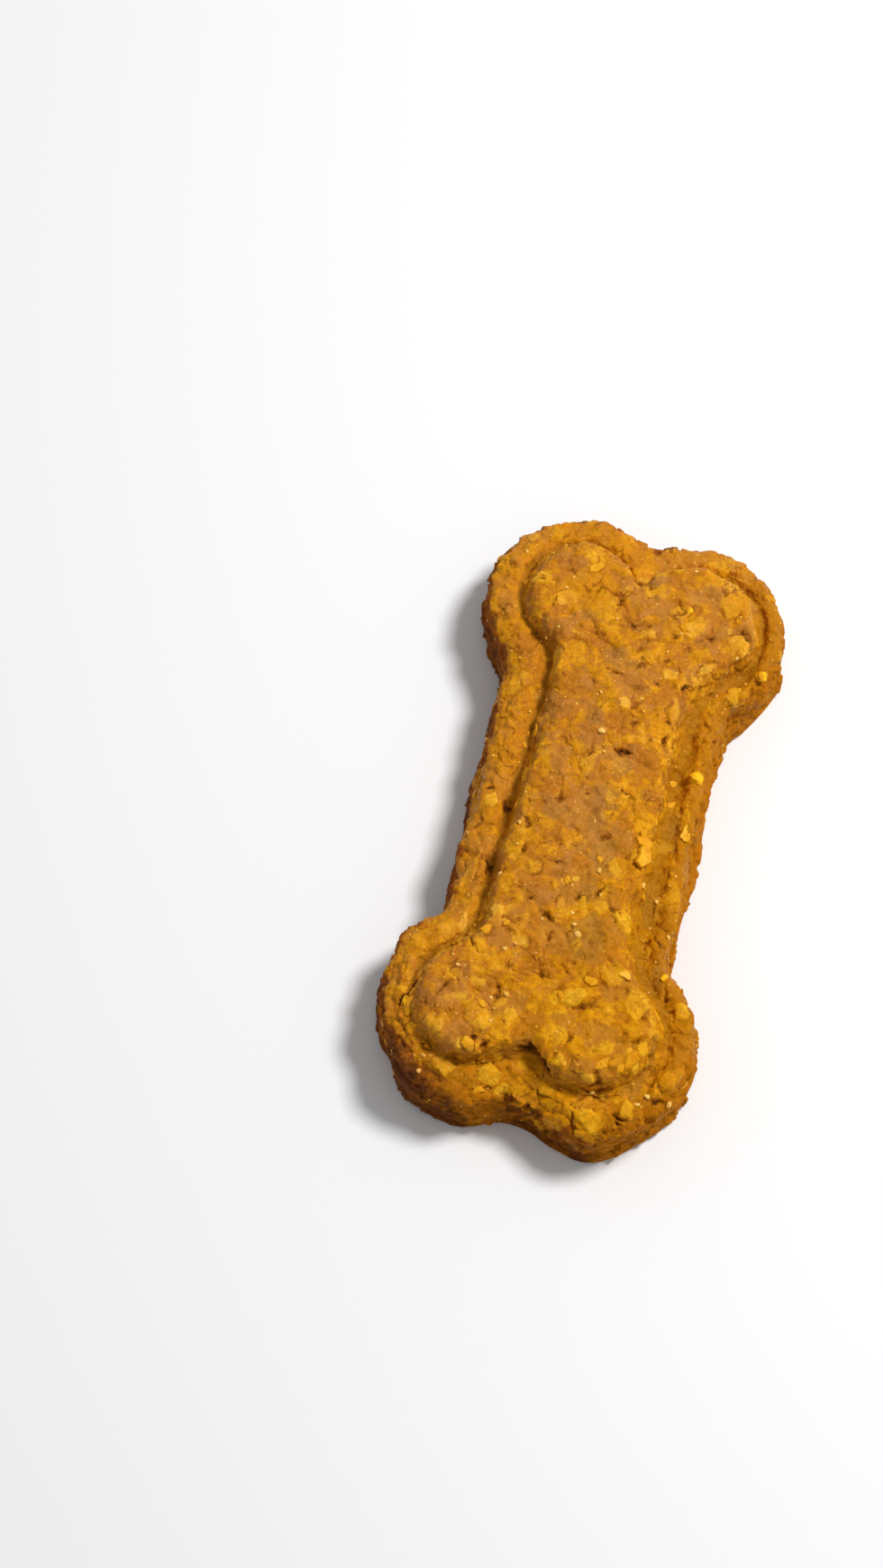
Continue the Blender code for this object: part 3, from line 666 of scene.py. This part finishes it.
def make_toppings(dough, tree, skin):
    """Add the proud flakes, pale crumbs, partly painted glints, and yellow bits on the dough, each kind as
    one piece.
    """
    draw = random.Random(SEED + 1)
    places, _ = points_of(dough.data)
    faces = [p.vertices for p in dough.data.polygons]
    surface = BVHTree.FromPolygons([Vector(p) / MM for p in places], faces)
    flakes, flake_tones = bmesh.new(), []
    for across, down, length, width, turn, tone in PROUD_FLAKES:
        spot = settled(surface, spot_seen(tree, across, down, turn))
        add_cluster(flakes, flake_tones, spot, length, width, tone, draw)
    count, least, most = STREWN_PROUD_FLAKES
    for _ in range(count):
        length = draw.uniform(least, most)
        spot = settled(surface, strewn_spot(skin, draw))
        width = length * draw.uniform(0.45, 0.85)
        add_flake(flakes, flake_tones, spot, length, width, draw.uniform(0, 0.5), 0.12, draw)
    mesh_piece("oat_flakes", flakes, flake_tones, flake_material())

    crumbs, crumb_tones = bmesh.new(), []
    for across, down, size in CRUMBS:
        spot = settled(surface, spot_seen(tree, across, down, draw.uniform(0, 180)))
        add_lump(crumbs, crumb_tones, spot, size, draw.uniform(0.6, 1.0), draw)
    count, least, most = STREWN_CRUMBS
    for _ in range(count):
        spot = settled(surface, strewn_spot(skin, draw))
        add_lump(crumbs, crumb_tones, spot, draw.uniform(least, most), draw.uniform(0.2, 1.0), draw)
    mesh_piece("crumbs", crumbs, crumb_tones, crumb_material())

    bits, bit_tones = bmesh.new(), []
    for across, down, size in YELLOW_BITS:
        spot = settled(surface, spot_seen(tree, across, down, draw.uniform(0, 180)))
        add_lump(bits, bit_tones, spot, size, 0.5, draw)
    mesh_piece("yellow_bits", bits, bit_tones, yellow_material())


class Shading:
    """A material of shader nodes, built up one by one."""

    def __init__(self, name):
        self.material = bpy.data.materials.new(name)
        self.material.use_nodes = True
        self.tree = self.material.node_tree
        self.shader = self.tree.nodes["Principled BSDF"]
        inputs = {0: self.add("ShaderNodeTexCoord").outputs["Object"], "Scale": 1 / MM}
        self.where = self.add("ShaderNodeVectorMath", inputs, operation="SCALE").outputs[0]

    def add(self, kind, inputs=None, **settings):
        """A node with its settings, and its inputs as values or as sockets to link."""
        node = self.tree.nodes.new(kind)
        for name, value in settings.items():
            setattr(node, name, value)
        for key, value in (inputs or {}).items():
            self.feed(node.inputs[key], value)
        return node

    def feed(self, socket, value):
        """Link a socket to another one, or give it a value."""
        if isinstance(value, bpy.types.NodeSocket):
            self.tree.links.new(value, socket)
        else:
            socket.default_value = value

    def set(self, name, value):
        """Give an input of the shader a value or a socket."""
        self.feed(self.shader.inputs[name], value)

    def attribute(self, name):
        """A value that the mesh has at each point."""
        return self.add("ShaderNodeAttribute", attribute_name=name).outputs["Fac"]

    def noise(self, size, detail=2.0, rough=0.5, where=None):
        """Noise with lumps of that size in millimetres, about 0.3 to 0.7."""
        inputs = {"Vector": where or self.where, "Scale": 1 / size, "Detail": detail, "Roughness": rough}
        return self.add("ShaderNodeTexNoise", inputs).outputs[0]

    def moved(self, *steps):
        """The place in millimetres, moved by those steps, for another noise of the same kind."""
        return self.vector("ADD", self.where, steps)[0]

    def vector(self, operation, one, other):
        """The outputs of an operation on two vectors."""
        return self.add("ShaderNodeVectorMath", {0: one, 1: other}, operation=operation).outputs

    def waved(self, size, reach, detail):
        """The place in millimetres, moved by waves of that size and reach."""
        inputs = {"Vector": self.where, "Scale": 1 / size, "Detail": detail}
        waves = self.add("ShaderNodeTexNoise", inputs).outputs["Color"]
        waves = self.vector("SUBTRACT", waves, (0.5, 0.5, 0.5))[0]
        return self.vector("ADD", self.where, self.vector("MULTIPLY", waves, (reach, reach, reach))[0])[0]

    def cells(self, size):
        """Cells of that size in millimetres: the distance from a cell's middle, in cells, and its value."""
        cells = self.add("ShaderNodeTexVoronoi", {"Vector": self.where, "Scale": 1 / size}).outputs
        return cells["Distance"], self.add("ShaderNodeSeparateColor", {0: cells["Color"]}).outputs[0]

    def chips(self, size, uneven):
        """Chips of that size that each lean their own way: a chip's height in millimetres and its value."""
        place = self.waved(size, uneven, 2.0)
        cells = self.add("ShaderNodeTexVoronoi", {"Vector": place, "Scale": 1 / size}).outputs
        way = self.vector("SUBTRACT", cells["Color"], (0.5, 0.5, 0.5))[0]
        apart = self.vector("SUBTRACT", place, cells["Position"])[0]
        height = self.vector("DOT_PRODUCT", apart, way)["Value"]
        return height, self.add("ShaderNodeSeparateColor", {0: cells["Color"]}).outputs[0]

    def cracks(self, size, uneven):
        """The distance in millimetres to a net of cracks with meshes of that size."""
        inputs = {"Vector": self.waved(size, uneven, 3.0), "Scale": 1 / size}
        net = self.add("ShaderNodeTexVoronoi", inputs, feature="DISTANCE_TO_EDGE")
        return self.times(net.outputs["Distance"], size)

    def level(self, value, low, high, start=0.0, end=1.0):
        """The value as a smooth step from start at low to end at high."""
        inputs = {"Value": value, "From Min": low, "From Max": high, "To Min": start, "To Max": end}
        return self.add("ShaderNodeMapRange", inputs, interpolation_type="SMOOTHSTEP").outputs[0]

    def sum(self, *values):
        """The values added up."""
        total = values[0]
        for value in values[1:]:
            total = self.add("ShaderNodeMath", {0: total, 1: value}, operation="ADD").outputs[0]
        return total

    def times(self, *values):
        """The values multiplied."""
        product = values[0]
        for value in values[1:]:
            product = self.add("ShaderNodeMath", {0: product, 1: value}, operation="MULTIPLY").outputs[0]
        return product

    def ragged(self, value, *waves):
        """The value made uneven by pairs of a noise and its reach."""
        return self.sum(value, *(self.times(self.sum(wave, -0.5), reach) for wave, reach in waves))

    def mix(self, share, one, other, blend="MIX"):
        """Two colours mixed by that share of the other."""
        colours = [c if isinstance(c, bpy.types.NodeSocket) else (*c, 1.0) for c in (one, other)]
        inputs = {0: share, 6: colours[0], 7: colours[1]}
        return self.add("ShaderNodeMix", inputs, data_type="RGBA", blend_type=blend).outputs[2]

    def bump(self, height, distance):
        """The surface's normal, bumped by the height times that distance in millimetres."""
        inputs = {"Height": height, "Distance": distance * MM, "Strength": 1.0}
        return self.add("ShaderNodeBump", inputs).outputs[0]


# Colours of the dough and of what is in it
BROWN = (0.48, 0.168, 0.012)
GOLD = (0.65, 0.260, 0.004)
PALE_GOLD = (0.80, 0.376, 0.024)
TAN = (0.45, 0.174, 0.027)
DRAB_AND_SHADE = (0.40, 0.168, 0.034)
WARMED = (1.0, 1.0, 0.45)
FLANGE_GOLD = (0.62, 0.235, 0.004)
DEEP_FLAKE = (0.70, 0.300, 0.006)
MID_FLAKE = (0.80, 0.392, 0.018)
PALE_FLAKE = (0.87, 0.470, 0.055)
TOASTED_AND_SHADE = (0.40, 0.142, 0.003)
# olive of the grooves: partly baked colour, partly painted shade
GROOVE_OLIVE_AND_SHADE = (0.37, 0.150, 0.008)
SHADE = (0.33, 0.108, 0.004)
# The wall's browns are baked browning, partly darkened with painted shade; its pale colour is painted light
WALL_BROWN = (0.24, 0.056, 0.006)
WALL_DARK = (0.080, 0.0165, 0.008)
WALL_PALE_AND_LIT = (0.43, 0.142, 0.005)
PIT_EDGE = (0.29, 0.080, 0.004)
PIT_SHADE_BROWN = (0.070, 0.020, 0.003)
# pale granules and crumbs, partly painted glints
GRANULE_AND_GLINT = (0.84, 0.49, 0.10)
YELLOW = (0.86, 0.47, 0.004)
SHINE = (1.0, 0.75, 0.35, 1.0)

SMEARED = (0.49, 0.60)                 # the smear noise is from none to full between these
# How far the chips, small chips, grains and finest grains of the dough stand out
CHIP_RELIEF, SMALL_CHIP_RELIEF, GRAIN_RELIEF, FINE_RELIEF = 0.42, 0.50, 0.12, 0.09
CRACK_RELIEF = -0.08
# The least light of the dough's grain, and what the finest and the coarser grain add to it
LEAST_LIGHT, FINE_LIGHT, GRAIN_LIGHT = 0.66, 0.40, 0.26


def flake_colour(s, tone):
    """A flake's colour by its tone, from deep gold to pale."""
    colour = s.mix(s.level(tone, 0.0, 0.6), DEEP_FLAKE, MID_FLAKE)
    return s.mix(s.level(tone, 0.5, 1.05), colour, PALE_FLAKE)


def flake_material():
    """Proud oat flakes: smooth, slightly shiny slabs with a few darker smears."""
    s = Shading("oat_flake")
    grainy = s.noise(0.9, 3.0, 0.6)
    tone = s.ragged(s.sum(s.attribute("tone"), -0.15), (grainy, 1.2))
    smears = s.level(s.noise(1.2, 3.0, 0.6), 0.48, 0.66, 0.0, 0.7)
    colour = s.mix(smears, flake_colour(s, tone), GOLD)
    colour = s.mix(s.level(tone, 0.05, -0.45), colour, GOLD)
    s.set("Base Color", colour)
    s.set("Roughness", 0.5)
    s.set("Specular IOR Level", 0.22)
    s.set("Specular Tint", SHINE)
    s.set("Normal", s.bump(grainy, 0.25))
    return s.material


def crumb_material():
    """Pale oat crumbs, from dough gold to nearly cream; the small strewn ones partly stand for painted
    glints.
    """
    s = Shading("oat_crumb_and_glint")
    tone = s.ragged(s.attribute("tone"), (s.noise(0.5), 0.8))
    s.set("Base Color", s.mix(s.level(tone, 0.2, 1.0), MID_FLAKE, GRANULE_AND_GLINT))
    s.set("Roughness", 0.5)
    s.set("Specular IOR Level", 0.3)
    return s.material


def yellow_material():
    """Bright yellow bits of grain."""
    s = Shading("yellow_grain")
    s.set("Base Color", s.mix(s.level(s.noise(0.8, 2.0), 0.45, 0.65), YELLOW, GOLD))
    s.set("Roughness", 0.6)
    s.set("Specular IOR Level", 0.15)
    return s.material


def dough_material():
    """Baked dough: brown and golden crumbs, flakes, dark pits and browned walls, with painted shade in pits,
    grooves and hollows and on the walls, and painted light on some patches, granules and the wall at the
    right.
    """
    s = Shading("oat_dough")
    broad = s.noise(4.5, 2.0, 0.5)
    grainy = s.noise(1.1, 3.0, 0.6)
    fine = s.noise(0.34, 3.0, 0.6)
    lean, chip = s.chips(0.95, 0.4)
    small_lean, small_chip = s.chips(0.5, 0.25)

    # Brown and golden crumbs, smeared with tan
    patch = s.sum(
        s.times(s.attribute("patch"), 0.55), s.times(chip, 0.40), s.times(small_chip, 0.20),
        s.times(broad, 1.5), s.times(grainy, 0.30),
    )
    colour = s.mix(s.level(patch, 1.26, 1.68), BROWN, GOLD)
    colour = s.mix(s.level(patch, 1.54, 1.98, 0.0, 0.8), colour, PALE_GOLD)
    smear = s.noise(3.6, 3.0, 0.55, where=s.moved(31, 7, 3))
    colour = s.mix(s.level(smear, *SMEARED, 0.0, 0.8), colour, TAN)

    # The golden flange, the toasted rim with painted shade on the near end's flange, and the drab patches,
    # some of them painted shade
    colour = s.mix(s.times(s.attribute("flange"), 0.4), colour, FLANGE_GOLD)
    toast = s.ragged(s.attribute("toast"), (grainy, 1.2))
    # toasted rim, and painted shade on the near end's flange
    colour = s.mix(s.level(toast, 0.1, 0.9, 0.0, 0.75), colour, TOASTED_AND_SHADE)
    # drab patches, some of them painted shade in grooves
    drab = s.ragged(s.attribute("drab"), (grainy, 0.9), (chip, 0.3))
    colour = s.mix(s.level(drab, 0.2, 0.8, 0.0, 0.75), colour, DRAB_AND_SHADE)

    # Pressed flakes, pale granules that partly stand for painted glints, and dark specks
    edge = s.ragged(s.attribute("flake"), (grainy, 1.2), (chip, 0.4))
    on_flake = s.level(edge, 0.08, -0.10)
    tone = s.ragged(s.attribute("tone"), (chip, 0.5), (grainy, 0.8))
    colour = s.mix(s.times(on_flake, s.level(tone, -0.1, 0.9, 0.3, 0.7)), colour, flake_colour(s, tone))
    dot, which = s.cells(0.6)
    granule_and_glint = s.times(s.level(dot, 0.30, 0.14), s.level(which, 0.72, 0.82))
    # pale granules, partly painted glints
    colour = s.mix(s.times(granule_and_glint, 0.55), colour, GRANULE_AND_GLINT)
    dot, which = s.cells(0.43)
    speck = s.times(s.level(dot, 0.34, 0.12), s.level(which, 0.80, 0.88))
    colour = s.mix(s.times(speck, 0.6), colour, PIT_EDGE)

    # The browned wall, partly darkened with painted shade, paler at the right with painted light, and darker
    # towards the foot
    low = s.times(s.attribute("low"), -0.45)
    streak = s.sum(s.times(broad, 1.2), grainy, s.times(chip, 0.3), s.times(fine, 0.4), low)
    wall_colour = s.mix(s.level(streak, 0.95, 1.50), WALL_DARK, WALL_BROWN)
    pale = s.sum(s.attribute("right"), s.times(streak, 0.5))
    # painted light where the wall faces the lamp's side, with pale streaks
    wall_colour = s.mix(s.level(pale, 0.65, 1.60), wall_colour, WALL_PALE_AND_LIT)
    wall = s.ragged(s.attribute("wall"), (grainy, 0.6))
    colour = s.mix(s.level(wall, 0.15, 0.75, 0.0, 0.9), colour, wall_colour)

    # Golden patches, some of them painted light; grooves, olive and partly painted shade; painted shade in
    # hollows
    # golden patches, some of them painted light
    gold = s.ragged(s.attribute("gold"), (grainy, 0.9), (chip, 0.3))
    colour = s.mix(s.level(gold, 0.2, 0.8, 0.0, 0.6), colour, GOLD)
    # the grooves are olive, partly baked colour and partly painted shade
    groove = s.ragged(s.attribute("groove"), (grainy, 0.25))
    colour = s.mix(s.level(groove, 0.0, 0.40, 0.0, 0.7), colour, GROOVE_OLIVE_AND_SHADE)
    # painted shade in the small hollows between crumbs
    colour = s.mix(s.level(s.attribute("hollow"), 0.08, 0.50, 0.0, 0.5), colour, SHADE)

    # Fine cracks here and there, and dark pits, both partly their own browning and partly painted shade,
    # darkest deep in the pits
    cracked = s.level(s.noise(2.2, 2.0, 0.5, where=s.moved(3, 51, 9)), 0.59, 0.68)
    crack = s.times(s.level(s.cracks(2.0, 1.6), 0.10, 0.02), cracked)
    colour = s.mix(s.times(crack, 0.75), colour, PIT_EDGE)
    pit = s.ragged(s.attribute("pit"), (fine, 0.5), (grainy, 0.4))
    colour = s.mix(s.level(pit, 0.16, -0.02, 0.0, 0.7), colour, PIT_EDGE)
    # painted shade deep inside the pits
    colour = s.mix(s.level(pit, 0.0, -0.16, 0.0, 0.9), colour, PIT_SHADE_BROWN)

    # Yellower towards the near right, with light and dark grains all over
    colour = s.mix(s.attribute("warm"), colour, WARMED, blend="MULTIPLY")
    light = s.sum(LEAST_LIGHT, s.times(fine, FINE_LIGHT), s.times(grainy, GRAIN_LIGHT))
    grey = s.add("ShaderNodeCombineColor", {0: light, 1: light, 2: light}).outputs[0]
    colour = s.mix(1.0, colour, grey, blend="MULTIPLY")

    s.set("Base Color", colour)
    roughness = s.level(s.sum(chip, s.times(grainy, 0.5)), 0.2, 1.1, 0.38, 0.62)
    s.set("Roughness", s.sum(roughness, s.times(s.attribute("wall"), 0.35)))
    s.set("Subsurface Weight", 0.3)
    s.set("Subsurface Radius", (1.0, 0.45, 0.08))
    s.set("Subsurface Scale", 1.2 * MM)
    s.set("Specular IOR Level", 0.13)
    s.set("Specular Tint", SHINE)
    height = s.sum(
        s.times(lean, CHIP_RELIEF), s.times(small_lean, SMALL_CHIP_RELIEF),
        s.times(grainy, GRAIN_RELIEF), s.times(fine, FINE_RELIEF),
    )
    height = s.times(height, s.level(smear, *SMEARED, 1.0, 0.6))
    height = s.sum(height, s.times(crack, CRACK_RELIEF))
    s.set("Normal", s.bump(height, 1.0))
    return s.material


def make_stage():
    """A plain pale floor, a soft light from the far right and an even pale sky."""
    bpy.ops.mesh.primitive_plane_add(size=FLOOR_SIZE)
    floor = bpy.context.object
    floor.name = "floor"
    material = bpy.data.materials.new("pale_floor")
    material.use_nodes = True
    shader = material.node_tree.nodes["Principled BSDF"]
    shader.inputs["Base Color"].default_value = FLOOR_COLOUR
    shader.inputs["Roughness"].default_value = 0.8
    floor.data.materials.append(material)

    lamp = bpy.data.objects.new("soft_light", bpy.data.lights.new("soft_light", "AREA"))
    lamp.data.shape = "DISK"
    lamp.data.size = LAMP_SIZE
    lamp.data.energy = LAMP_POWER
    way = Vector(LAMP_WAY).normalized()
    lamp.location = way * LAMP_DISTANCE
    lamp.rotation_euler = way.to_track_quat("Z", "Y").to_euler()
    bpy.context.scene.collection.objects.link(lamp)

    world = bpy.data.worlds.new("sky")
    world.use_nodes = True
    background = world.node_tree.nodes["Background"]
    background.inputs["Color"].default_value = (1, 1, 1, 1)
    background.inputs["Strength"].default_value = SKY
    bpy.context.scene.world = world
    bpy.context.scene.view_settings.view_transform = "Standard"


def make_camera():
    """The photograph's camera, placed so that the aim point lands on the aim pixel."""
    eye, right, up, back = camera_view()
    camera = bpy.data.objects.new("camera", bpy.data.cameras.new("camera"))
    camera.data.sensor_width = SENSOR
    camera.data.lens = FOCAL_PIXELS / max(PHOTO_WIDTH, PHOTO_HEIGHT) * SENSOR
    camera.data.clip_start = 0.01
    camera.matrix_world = Matrix.Translation(eye * MM) @ Matrix((right, up, back)).transposed().to_4x4()
    bpy.context.scene.collection.objects.link(camera)
    bpy.context.scene.camera = camera


make_camera()
make_stage()
dough, dough_tree, dough_skin = make_dough()
make_toppings(dough, dough_tree, dough_skin)
